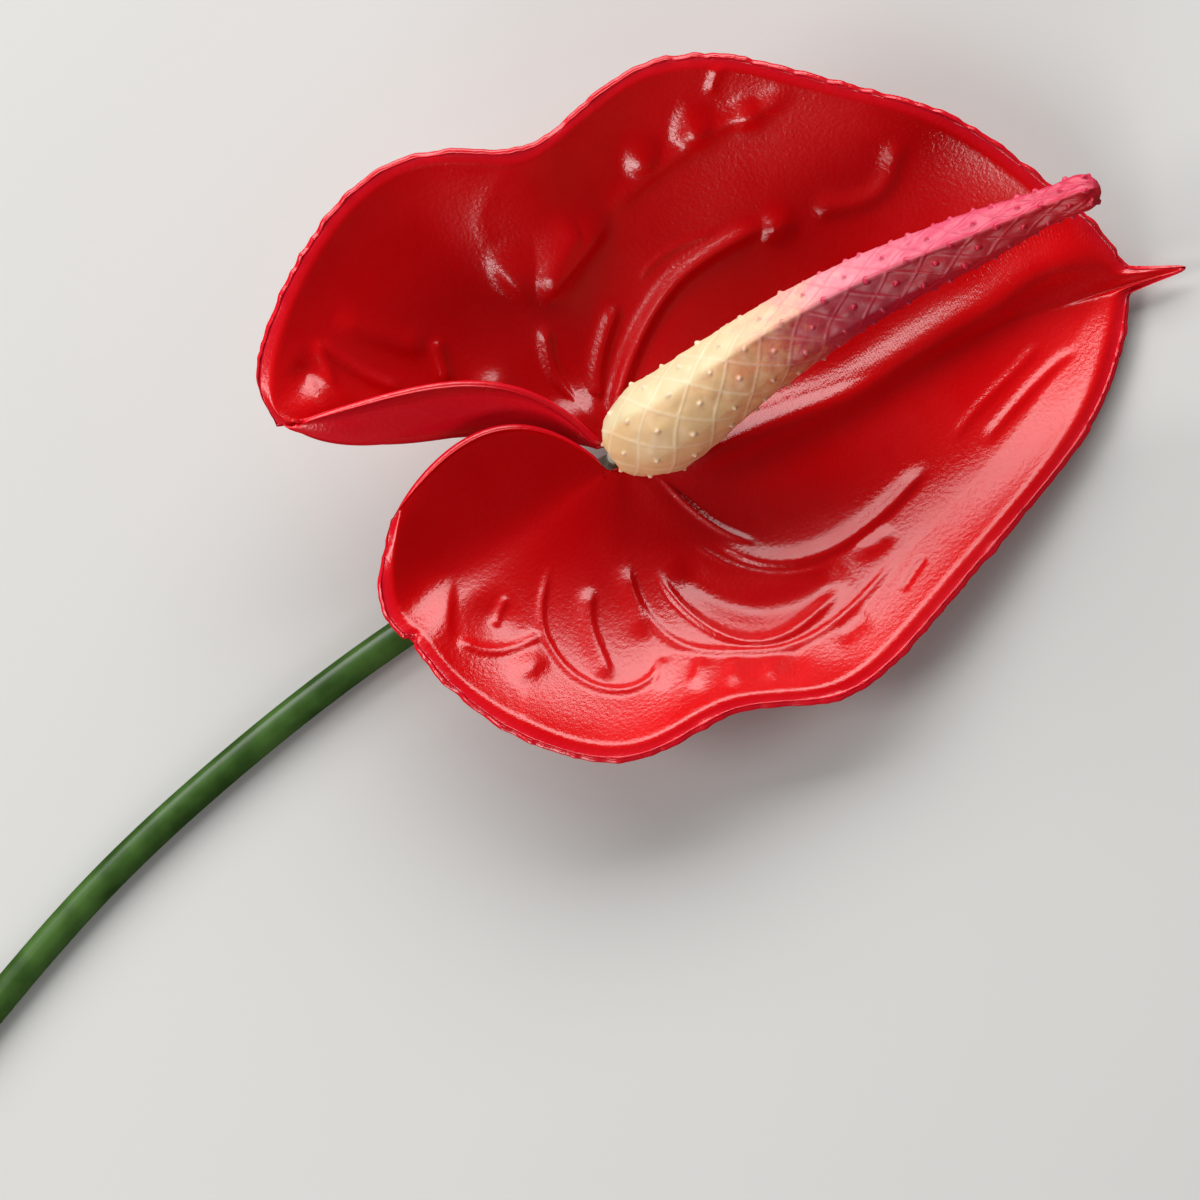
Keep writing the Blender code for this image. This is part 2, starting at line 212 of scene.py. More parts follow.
# Each line of relief: height, width on its lit side at its start and at its end, width on its other side,
# then its points from the heart outwards with the lit side on their left. A dent has a height below 0.
# The wall is the line past which the sheet stands a little higher, out to the margin.
relief = {
    "ridges": [
        (2.0, 2.2, 3.8, 2.4, [(5.1, -3.2), (12.8, -0.2), (25.7, 5.1), (32.1, 7.7), (38.6, 12.0),
          (45.0, 16.2), (51.4, 20.0), (55.9, 23.3), (61.7, 25.1), (69.4, 24.6)]),
        (0.35, 0.5, 0.6, 0.5, [(6.7, -1.6), (11.6, -6.6), (16.4, -10.0), (21.2, -11.9)]),
        (0.65, 1.8, 1.3, 0.45, [(14.8, -11.1), (19.9, -13.7), (24.4, -14.1), (29.6, -12.7), (34.1, -9.9),
          (38.6, -6.0), (43.0, -0.9)]),
        (0.15, 0.35, 0.35, 0.35, [(11.6, -11.1), (14.8, -13.2), (18.0, -14.7), (21.8, -15.5), (25.7, -15.4),
          (30.2, -14.1)]),
        (0.5, 0.5, 1.2, 0.45, [(7.1, -14.4), (9.3, -18.2), (12.2, -21.2), (15.4, -23.3), (19.3, -24.4),
          (23.8, -23.6), (27.6, -21.0), (31.5, -16.9)]),
        (0.35, 0.5, 0.5, 0.5, [(3.1, -11.8), (3.9, -15.6), (5.1, -19.1), (7.1, -22.1), (9.6, -24.2),
          (12.8, -25.3), (18.0, -25.5), (23.8, -25.0), (28.9, -22.7), (34.1, -18.3), (39.6, -11.8)]),
        (0.25, 0.6, 0.6, 0.6, [(45.4, 1.5), (49.5, 6.6), (53.3, 10.4), (57.2, 14.8)]),
        (0.35, 0.8, 0.8, 0.5, [(49.5, 1.1), (54.6, 7.1), (57.8, 10.4), (61.7, 13.8)]),
        (0.4, 1.4, 1.4, 1.0, [(32.4, -12.8), (35.3, -11.9), (38.2, -9.3)]),
        (0.4, 0.5, 0.5, 0.5, [(-6.6, -14.0), (-7.3, -17.6), (-7.6, -21.7), (-6.2, -25.3), (-3.9, -28.1),
          (0.0, -30.2), (5.1, -29.9), (7.2, -27.8), (6.4, -25.0)]),
        (0.55, 1.5, 1.3, 0.8, [(1.5, -29.6), (0.3, -26.6), (-1.0, -23.3), (-1.5, -20.1), (-1.0, -16.9)]),
        (0.55, 2.0, 1.4, 0.7, [(6.4, -24.2), (5.1, -20.4), (3.9, -16.9), (3.3, -13.7)]),
        (0.3, 0.9, 0.9, 0.9, [(7.7, -25.9), (8.0, -28.1), (7.5, -30.7)]),
        (0.35, 1.3, 1.3, 0.9, [(13.2, -25.9), (12.8, -28.1), (11.8, -30.9)]),
        (0.35, 1.3, 1.3, 0.9, [(17.1, -25.9), (17.2, -28.1), (16.6, -30.7)]),
        (0.35, 1.3, 1.3, 0.9, [(22.1, -25.9), (22.0, -27.8), (21.1, -29.9)]),
        (-0.7, 2.1, 2.1, 2.1, [(9.3, -13.7), (13.5, -17.3), (19.3, -19.6), (25.7, -18.6), (32.1, -14.5)]),
        (-0.6, 2.8, 2.8, 2.8, [(-16.7, -17.6), (-14.1, -20.8), (-10.3, -18.9)]),
        (-0.3, 1.4, 1.4, 1.4, [(25.4, -24.0), (25.2, -26.3), (24.2, -29.1)]),
        (-0.3, 1.4, 1.4, 1.4, [(29.8, -24.4), (32.4, -22.4), (35.0, -20.1)]),
        (-0.25, 0.45, 0.45, 0.45, [(38.9, -17.8), (40.3, -15.6), (42.0, -13.3)]),
        (0.6, 3.0, 3.0, 0.8, [(-19.3, -25.5), (-19.8, -22.4), (-19.7, -19.1), (-19.3, -15.0)]),
        (0.3, 0.5, 0.5, 0.5, [(-13.5, -22.4), (-13.0, -20.4), (-12.0, -18.3)]),
        (0.45, 2.0, 2.0, 1.2, [(-11.6, -29.9), (-9.0, -27.8), (-6.4, -25.7)]),
        (0.35, 0.8, 0.8, 0.6, [(-18.6, -24.0), (-14.8, -25.4), (-10.9, -25.0), (-7.3, -23.0)]),
        (1.2, 1.5, 1.2, 0.8, [(1.5, 2.7), (2.6, 7.5), (4.5, 13.3), (7.1, 18.7), (10.3, 22.9),
          (14.1, 25.9), (18.6, 28.4), (22.5, 29.7)]),
        (0.25, 0.4, 0.4, 0.4, [(4.9, 22.9), (8.4, 26.1), (11.6, 27.7), (15.7, 29.0)]),
        (1.0, 2.0, 2.0, 1.4, [(19.9, 28.7), (22.9, 29.5), (26.0, 31.0)]),
        (0.5, 1.4, 1.4, 1.1, [(27.0, 31.7), (32.1, 32.2), (36.2, 34.1), (37.9, 37.7), (38.3, 40.9)]),
        (0.9, 1.4, 1.2, 0.8, [(-0.3, 6.2), (-0.3, 10.7), (0.4, 14.6), (1.3, 17.4), (2.3, 20.1)]),
        (0.7, 1.0, 1.0, 0.8, [(0.0, 3.6), (-2.8, 6.6), (-5.4, 9.7), (-6.7, 13.3), (-7.1, 17.4)]),
        (1.4, 3.6, 3.6, 1.2, [(-7.1, 7.5), (-4.1, 5.3), (-1.0, 3.3), (1.9, 1.7)]),
        (0.9, 3.4, 3.2, 1.6, [(-14.1, 27.4), (-12.6, 24.6), (-10.3, 21.8), (-7.1, 18.9)]),
        (1.3, 2.6, 3.0, 1.2, [(-8.4, 18.9), (-5.1, 23.3), (-2.3, 26.6), (1.5, 31.9)]),
        (1.3, 2.3, 2.5, 2.8, [(-7.4, 19.6), (-6.2, 23.0), (-4.2, 27.0), (-1.2, 31.0)]),
        (0.5, 1.4, 1.4, 1.0, [(0.6, 31.0), (5.1, 34.9), (10.3, 38.7), (15.4, 41.9), (20.6, 43.9),
          (25.1, 46.4)]),
        (0.1, 1.2, 1.2, 1.2, [(-13.1, 26.1), (-15.4, 29.7), (-14.1, 33.2), (-11.3, 36.4), (-6.7, 38.2)]),
        (1.1, 2.5, 2.5, 1.7, [(2.3, 36.4), (5.1, 37.4), (8.7, 39.5)]),
        (1.2, 2.6, 2.6, 1.8, [(8.4, 40.8), (12.1, 41.2), (15.2, 43.9)]),
        (0.8, 1.8, 1.8, 1.3, [(15.9, 42.6), (19.0, 43.0), (21.8, 44.6)]),
        (0.35, 0.6, 0.6, 0.6, [(14.1, 45.4), (14.6, 47.7), (16.4, 50.3)]),
        (0.6, 2.0, 2.0, 1.3, [(-34.7, 17.4), (-29.6, 15.8), (-25.7, 14.3), (-21.6, 13.9)]),
        (0.6, 0.8, 0.8, 0.8, [(-21.6, 15.1), (-20.6, 12.2), (-19.8, 9.2)]),
        (1.2, 2.2, 2.2, 0.6, [(-17.7, 8.6), (-14.1, 8.6), (-10.5, 9.2)]),
        (0.5, 0.8, 0.8, 0.5, [(-36.2, 14.6), (-33.2, 12.0), (-29.6, 9.7), (-25.4, 8.1)]),
        (0.5, 0.7, 0.7, 0.7, [(-36.5, 14.8), (-35.3, 11.3), (-34.1, 8.1), (-32.4, 6.1)]),
        (1.4, 4.0, 4.0, 1.2, [(-41.8, 6.8), (-38.6, 4.9), (-34.1, 5.3), (-30.2, 6.8)]),
        (-0.7, 1.6, 1.6, 1.6, [(-39.6, 12.2), (-37.5, 10.7), (-34.7, 9.7)]),
    ],
    "wall": [
        (-18.6, -24.2), (-15.4, -25.5), (-11.6, -25.3), (-7.6, -23.0), (-6.2, -25.3), (-3.9, -28.1),
        (0.0, -30.4), (5.1, -30.4), (8.0, -26.6), (11.6, -25.4), (18.0, -25.8), (24.4, -25.1),
        (29.6, -22.4), (34.7, -17.8), (39.2, -13.1), (45.0, -7.0), (51.4, 0.2), (57.8, 8.8),
        (62.3, 16.5), (65.8, 22.3),
    ],
    "wallHeight": 0.5, "wallWidth": 2.5, "wallReach": 12.0, "wallFlatTo": 8.0, "wallTaper": 0.08,
    "stepsPerPoint": 8,
    "reach": 3,  # widths out to which a line is worked out
    "crossing": 0.25,  # share of the lower of two ridges that is added where they cross
    "taperWidths": 1.6, "taperLeast": 0.15, "taperMost": 0.5,
    "fadeRibs": (0.8, 2.0), "fadeMargin": (0.6, 3.2),
    "rippleReach": 8.0, "rippleAcross": (-0.6, 0.6, 3.5, 7.0), "rippleStart": 0.1,
}


def peakScale(power):
    # brings the peak of x ** power * (1 - x) to 1
    return (power + 1) ** (power + 1) / power ** power


def marginAt(ribs):
    shape = spatheShape
    edge = smoothCurve(range(len(shape["margin"])), shape["margin"], ribs)
    spikeShare = np.exp(-((ribs - shape["tipRib"]) / shape["spikeRibs"]) ** 2)
    return edge, spikeShare


def spatheSheet(ribCount, ringCount):
    # ribs fan out from the heart to the margin, evenly spaced along it, and bow and sag as they go
    shape = spatheShape
    fine = np.linspace(0, len(shape["margin"]) - 1, shape["outlineSteps"])
    edge, spikeShare = marginAt(fine)
    outline = edge + spikeShare[:, None] * np.array(shape["spike"])
    walked = walkedAlong(outline)
    ribs = np.interp(np.linspace(0, walked[-1], ribCount), walked, fine)
    edge, spikeShare = marginAt(ribs)
    bends = np.array(shape["bends"])
    bent = smoothCurve(bends[:, 0], bends[:, 1:], ribs).T[:, :, None, None]
    bowNear, bowFar, sagNear, sagFar, sagRim = bent
    hx, hy = shape["heart"]
    direction = np.unwrap(np.arctan2(edge[:, 1] - hy, edge[:, 0] - hx))
    direction -= 2 * math.pi * round(direction[ribCount // 2] / (2 * math.pi))
    start = np.zeros_like(edge)
    start[:, 0] = hx + shape["heartRadius"] * np.cos(shape["heartTurn"] * direction)
    start[:, 1] = hy + shape["heartRadius"] * np.sin(shape["heartTurn"] * direction)
    chord = edge - start
    side = unit(np.stack([chord[:, 1], -chord[:, 0], np.zeros(ribCount)], axis=1))
    t = np.linspace(0, 1, ringCount)
    crowding = shape["ringCrowding"]
    run = (t * (1 + crowding - crowding * t))[None, :, None]  # rings crowd towards the margin
    bow, rim = shape["bowPower"], shape["rimPower"]
    near = peakScale(bow) * run * (1 - run) ** bow
    far = peakScale(bow) * run ** bow * (1 - run)
    byRim = peakScale(rim) * run ** rim * (1 - run)
    points = start[:, None] + run * chord[:, None]
    points = points + side[:, None] * (near * bowNear + far * bowFar)
    points = points - np.array([0, 0, 1.0]) * (near * sagNear + far * sagFar + byRim * sagRim)
    spiked = run ** shape["spikePower"] * spikeShare[:, None, None]
    points = points + spiked * np.array(shape["spike"])
    toEdge = np.linalg.norm(np.diff(points, axis=1), axis=2)[:, ::-1].cumsum(axis=1)[:, ::-1]
    toEdge = np.concatenate([toEdge, np.zeros((ribCount, 1))], axis=1)
    return points, ribs, toEdge, spiked[:, :, 0]


def aroundGrid(index):
    # the numbers along the four sides of a grid, once around
    return np.concatenate([index[:-1, -1], index[-1, :0:-1], index[:0:-1, 0], index[0, :-1]])


def gridNormals(points):
    return unit(np.cross(np.gradient(points, axis=0), np.gradient(points, axis=1)))


def nearestOnLine(xy, points, reach):
    # for the spots within reach: the signed gap to a smooth line, above 0 on its left, and the share
    # of the way along it
    line = alongCurve(points, relief["stepsPerPoint"] * len(points))
    inside = np.all((xy > line.min(axis=0) - reach) & (xy < line.max(axis=0) + reach), axis=1)
    spots = xy[inside]
    nearest = np.full(len(spots), np.inf)
    offSide = np.zeros(len(spots))
    travel = np.zeros(len(spots))
    length = 0.0
    for a, b in zip(line[:-1], line[1:]):
        step = b - a
        size = np.linalg.norm(step)
        t = np.clip(((spots - a) @ step) / size ** 2, 0, 1)
        gap = spots - a - t[:, None] * step
        distance = np.linalg.norm(gap, axis=1)
        closer = distance < nearest
        nearest[closer] = distance[closer]
        offSide[closer] = (step[0] * gap[:, 1] - step[1] * gap[:, 0])[closer]
        travel[closer] = (length + t * size)[closer]
        length += size
    return inside, np.sign(offSide) * nearest, travel / length


def taperedEnds(taper, way):
    return smoothStep(0, taper, way) * smoothStep(0, taper, 1 - way)


def spatheRelief(points, ribs, toEdge):
    # how far each spot stands out of the smooth sheet
    xy = points[:, :, :2].reshape(-1, 2)
    raised = np.zeros(len(xy))
    sunk = np.zeros(len(xy))
    for height, litStart, litEnd, other, line in relief["ridges"]:
        inside, gap, way = nearestOnLine(xy, line, relief["reach"] * max(litStart, litEnd, other))
        width = np.where(gap > 0, litStart + (litEnd - litStart) * way, other)
        taper = relief["taperWidths"] * max(litStart, litEnd) / walkedAlong(line)[-1]
        taper = min(max(taper, relief["taperLeast"]), relief["taperMost"])
        here = height * taperedEnds(taper, way) * np.exp(-(gap / width) ** 2)
        if height > 0:
            before = raised[inside]
            raised[inside] = np.maximum(before, here) + relief["crossing"] * np.minimum(before, here)
        else:
            sunk[inside] += here
    inside, gap, way = nearestOnLine(xy, relief["wall"], relief["wallReach"])
    wall = relief["wallHeight"] * (1 - np.exp(-np.maximum(-gap, 0) / relief["wallWidth"]))
    wall = wall * smoothStep(relief["wallReach"], relief["wallFlatTo"], -gap)
    raised[inside] += wall * taperedEnds(relief["wallTaper"], way)
    total = (raised + sunk).reshape(points.shape[:2])
    total = total * smoothStep(*relief["fadeRibs"], ribs)[:, None]
    return total * smoothStep(*relief["fadeMargin"], toEdge)


def midribRipple(points):
    # where the fine cross ripple lies beside the midrib, and the way along the midrib in mm
    xy = points[:, :, :2].reshape(-1, 2)
    ripple = np.zeros(len(xy))
    midWay = np.zeros(len(xy))
    midrib = relief["ridges"][0][4]
    inside, gap, way = nearestOnLine(xy, midrib, relief["rippleReach"])
    below, above, fullTo, goneAt = relief["rippleAcross"]
    across = smoothStep(below, above, gap) * smoothStep(goneAt, fullTo, gap)
    ripple[inside] = across * smoothStep(0, relief["rippleStart"], way)
    midWay[inside] = way * walkedAlong(midrib)[-1]
    return ripple.reshape(points.shape[:2]), midWay.reshape(points.shape[:2])


def lipDrop(toEdge):
    # the last millimetres bend down in a soft crease and then run straight
    past = np.maximum(spatheShape["lipWidth"] - toEdge, 0)
    bend = spatheShape["lipBend"]
    return spatheShape["lipSlope"] * np.where(past < bend, past ** 2 / (2 * bend), past - bend / 2)


def rimNicks(count):
    # small uneven nicks, as trimmed edges have
    draw = np.random.default_rng(spatheShape["nickSeed"])
    length = spatheShape["marginLength"]
    along = np.linspace(0, length, count)
    total = np.zeros(count)
    for spacing, size in spatheShape["nicks"]:
        knots = np.arange(0, length + spacing, spacing)
        total += size * np.interp(along, knots, draw.uniform(-1, 1, len(knots)))
    return total


def makeSpathe(material, matrix):
    shape = spatheShape
    points, ribs, toEdge, spiked = spatheSheet(shape["ribs"], shape["rings"])
    normals = gridNormals(points)
    raised = spatheRelief(points, ribs, toEdge)
    ripple, midWay = midribRipple(points)
    outward = np.zeros_like(points)
    outward[:, 1:] = unit(points[:, 1:] - points[:, :-1])
    thin = 1 - shape["edgeThinning"] * np.exp(-toEdge / shape["edgeThinningWidth"])
    thin = thin * (1 - shape["spikeThinning"] * spiked)
    thick = shape["thickness"] * thin
    roundest = max(push for share, push in shape["rimRound"])
    nicks = rimNicks(shape["ribs"])[:, None] * (1 - spiked) * np.exp(-toEdge / shape["nickWidth"])
    notch = np.exp(-((ribs - shape["notchRib"]) / shape["notchRibs"]) ** 2)[:, None]
    nicks -= shape["notchDepth"] * notch * np.exp(-toEdge / shape["notchWidth"])
    # the round edge then ends at the margin
    moved = nicks - roundest * thin * np.exp(-toEdge / shape["roundWidth"])
    front = points + normals * raised[:, :, None] + outward * moved[:, :, None]
    front[:, :, 2] -= lipDrop(toEdge) * (1 - spiked)
    back = front - normals * ((1 - shape["backShare"]) * raised + thick)[:, :, None]
    rows, cols = shape["ribs"], shape["rings"]
    flat = rows * cols
    index = np.arange(flat).reshape(rows, cols)
    # the back has every second rib and ring of the front
    backRows, backCols = (rows + 1) // 2, (cols + 1) // 2
    faces = gridFaces(rows, cols).tolist() + gridFaces(backRows, backCols, flat)[:, ::-1].tolist()
    loop = aroundGrid(index)
    backLoop = aroundGrid(np.arange(backRows * backCols).reshape(backRows, backCols) + flat)
    inner = np.clip(np.stack(np.unravel_index(loop, (rows, cols)), axis=1), [1, 1], [rows - 2, cols - 2])
    frontFlat, backFlat = front.reshape(-1, 3), back.reshape(-1, 3)
    away = unit(frontFlat[loop] - front[inner[:, 0], inner[:, 1]])
    loopThin = thin.ravel()[loop][:, None]
    rim = []
    for share, push in shape["rimRound"]:
        rim.append((1 - share) * frontFlat[loop] + share * backFlat[loop] + push * loopThin * away)
    verts = np.concatenate([frontFlat, back[::2, ::2].reshape(-1, 3)] + rim)
    ring = np.arange(len(loop))
    rimStart = flat + backRows * backCols
    chain = [loop] + [rimStart + k * len(loop) + ring for k in range(len(rim))]
    for a, b in zip(chain[:-1], chain[1:]):
        faces += np.stack([a, b, np.roll(b, -1), np.roll(a, -1)], axis=1).tolist()
    last, nextBack = chain[-1], np.roll(backLoop, -1)
    faces += np.stack([last[0::2], backLoop, last[1::2]], axis=1).tolist()
    faces += np.stack([last[1::2], backLoop, nextBack, np.roll(last, -1)[1::2]], axis=1).tolist()
    attributes = {}
    for key, grid, onBack, onRim in (("onBack", 0 * toEdge, 1, 0.5), ("toEdge", toEdge, 0, 0.0),
                                     ("ripple", ripple, 0, 0.0), ("alongMidrib", midWay, 0, 0.0)):
        rimValues = np.full(len(rim) * len(loop), onRim)
        attributes[key] = np.concatenate([grid.ravel(), grid[::2, ::2].ravel() + onBack, rimValues])
    return makePiece("spathe", verts, faces, attributes, material, matrix)


coarseGrid = (96, 14)  # ribs and rings that are enough to measure the sheet


def heartPlace():
    # where the heart lies, in mm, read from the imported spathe's box
    points = spatheSheet(*coarseGrid)[0]
    under = points - gridNormals(points) * spatheShape["solidThickness"]
    solid = np.concatenate([points, under]).reshape(-1, 3)
    turned = solid @ np.array(flowerTurn().to_3x3()).T
    low, high = (np.array(corner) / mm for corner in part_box("spathe"))
    place = (low + high - turned.min(axis=0) - turned.max(axis=0)) / 2
    place[2] = low[2] - turned[:, 2].min() + spatheShape["heartRise"]
    return Vector(place * mm)


def softVinylMoulded():
    # Soft red vinyl cast against a grained mould: deep clean red, wide satin highlights broken by
    # fine grain. Painted shade deepens the red in the dish, and a painted highlight turns the margin
    # pinker.
    look = {"red": "#dc0008", "deepRed": "#d00005", "dishShadeRed": "#b40004", "edgeSheenRed": "#d81228",
            "backRed": "#e00a1e", "cloudMm": 14, "dishShadeFromMm": 7.0, "dishShadeToMm": 26.0, "dishShadeShare": 0.75,
            "edgeMm": 2.2, "edgeShare": 0.8, "roughness": 0.23, "smoother": 0.04, "rougher": 0.05,
            "ior": 1.6, "scatter": 0.05, "scatterMm": 2,
            # the real grain is about 0.35 mm, and is drawn coarser so that it shows
            "grainMm": 0.55, "grainDepthMm": 0.055, "rippleMm": 0.38, "rippleShare": 0.1}
    material = newMaterial("vinyl_red_soft_moulded")
    coords = addNode(material, "TexCoord")
    toEdge = addNode(material, "Attribute", {"attribute_name": "toEdge"})
    onBack = addNode(material, "Attribute", {"attribute_name": "onBack"})
    ripple = addNode(material, "Attribute", {"attribute_name": "ripple"})
    midrib = addNode(material, "Attribute", {"attribute_name": "alongMidrib"})
    clouds = addNode(material, "TexNoise", {"Scale": 1 / (look["cloudMm"] * mm), "Detail": 3.0,
                                            "Roughness": 0.55}, {"Vector": (coords, "Object")})
    tint = addNode(material, "ValToRGB", {"stops": [(0.3, look["deepRed"]), (0.7, look["red"])]},
                   {"Fac": (clouds, "Fac")})
    # painted shade: from 7 to 26 mm in from the margin the red darkens, standing in for the shade that
    # falls in the dish
    inner = addNode(material, "MapRange", {"From Min": look["dishShadeFromMm"], "From Max": look["dishShadeToMm"],
                                           "To Max": look["dishShadeShare"]}, {"Value": (toEdge, "Fac")})
    dishShaded = addNode(material, "MixRGB", {"Color2": hexColour(look["dishShadeRed"])},
                       {"Fac": (inner, "Result"), "Color1": (tint, "Color")})
    # painted highlight: the last 2.2 mm at the margin turn pinker, standing in for the light that the
    # turned-down edge catches
    edgeSheenMask = addNode(material, "MapRange", {"From Max": look["edgeMm"], "To Min": look["edgeShare"],
                                              "To Max": 0.0}, {"Value": (toEdge, "Fac")})
    edgeSheened = addNode(material, "MixRGB", {"Color2": hexColour(look["edgeSheenRed"])},
                     {"Fac": (edgeSheenMask, "Result"), "Color1": (dishShaded, "Color")})
    colour = addNode(material, "MixRGB", {"Color2": hexColour(look["backRed"])},
                     {"Fac": (onBack, "Fac"), "Color1": (edgeSheened, "Color")})
    grain = addNode(material, "TexNoise", {"Scale": 1 / (look["grainMm"] * mm), "Detail": 2.0,
                                           "Roughness": 0.6}, {"Vector": (coords, "Object")})
    wave = addNode(material, "Math", {"operation": "MULTIPLY", 1: 2 * math.pi / look["rippleMm"]},
                   {0: (midrib, "Fac")})
    sine = addNode(material, "Math", {"operation": "SINE"}, {0: (wave, "Value")})
    rippled = addNode(material, "Math", {"operation": "MULTIPLY"}, {0: (sine, "Value"), 1: (ripple, "Fac")})
    faint = addNode(material, "Math", {"operation": "MULTIPLY", 1: look["rippleShare"]},
                    {0: (rippled, "Value")})
    height = addNode(material, "Math", {"operation": "ADD"}, {0: (grain, "Fac"), 1: (faint, "Value")})
    bump = addNode(material, "Bump", {"Strength": 1.0, "Distance": look["grainDepthMm"] * mm},
                   {"Height": (height, "Value")})
    rough = addNode(material, "MapRange", {"From Min": 0.3, "From Max": 0.7,
                                           "To Min": look["roughness"] - look["smoother"],
                                           "To Max": look["roughness"] + look["rougher"]},
                    {"Value": (clouds, "Fac")})
    return finishMaterial(material, {"IOR": look["ior"], "Subsurface Weight": look["scatter"],
                                     "Subsurface Scale": look["scatterMm"] * mm},
                          {"Base Color": (colour, "Color"), "Roughness": (rough, "Result"),
                           "Normal": (bump, "Normal")})


# Spadix
spadixShape = {
    # points of its middle with the radius there
    "axis": [
        (2.7, 0.8, 2.3, 1.2), (3.2, 1.1, 2.8, 3.3), (4.4, 1.8, 4.0, 5.0), (6.4, 2.9, 5.6, 6.0),
        (9.0, 4.4, 7.4, 6.2), (15.0, 8.8, 11.0, 5.6), (22.0, 13.6, 15.0, 5.1), (30.0, 18.4, 19.4, 4.5),
        (39.0, 22.8, 24.5, 3.8), (49.0, 27.0, 30.2, 3.0), (58.0, 30.6, 35.3, 2.25),
        (59.8, 31.2, 36.3, 1.95), (60.7, 31.5, 36.8, 1.0),
    ],
    "axisSteps": 2000, "rings": 380, "around": 204, "leastRadius": 0.05,
    "facets": 6, "facetSize": 1.05, "facetShare": 0.3, "facetFull": 0.3,
    # the moulding ridge: degrees up from the side that faces the viewer, and the shares of the length
    # where it starts and is full
    "ridgeAtBase": 27.0, "ridgeAtTip": 0.0, "ridgeFrom": 0.26, "ridgeFull": 0.46,
    "ridgeShare": 0.65, "ridgeReach": 1.0, "ridgeHeight": 0.12, "ridgeWidth": 0.25,
    "pitch": 6.1, "lineWidth": 0.14, "lineHeight": 0.1, "cellBulge": 0.12,
    "swayAlong": 0.05, "swayTurns": 3, "swayAlongMm": 4.0, "swayAround": 0.06, "swayAroundMm": 3.1,
    "dotRadius": 0.4, "dotHeight": 0.36, "dotFlat": 0.4, "dotLeast": 0.85, "dotSpread": 0.3, "wander": 0.35,
    "pimples": 0.07, "pimpleSeed": 3, "pimpleRings": 5, "pimpleAround": 6,
    "fadeRadius": (0.6, 2.2), "cellHash": (12.9898, 78.233, 43758.5453),
}


def spadixProfile():
    # points along the middle with radius, evenly spaced along the outline
    fine = alongCurve(spadixShape["axis"], spadixShape["axisSteps"])
    walked = walkedAlong(fine)
    places = np.linspace(0, walked[-1], spadixShape["rings"])
    rows = np.stack([np.interp(places, walked, fine[:, k]) for k in range(4)], axis=1)
    return rows, places


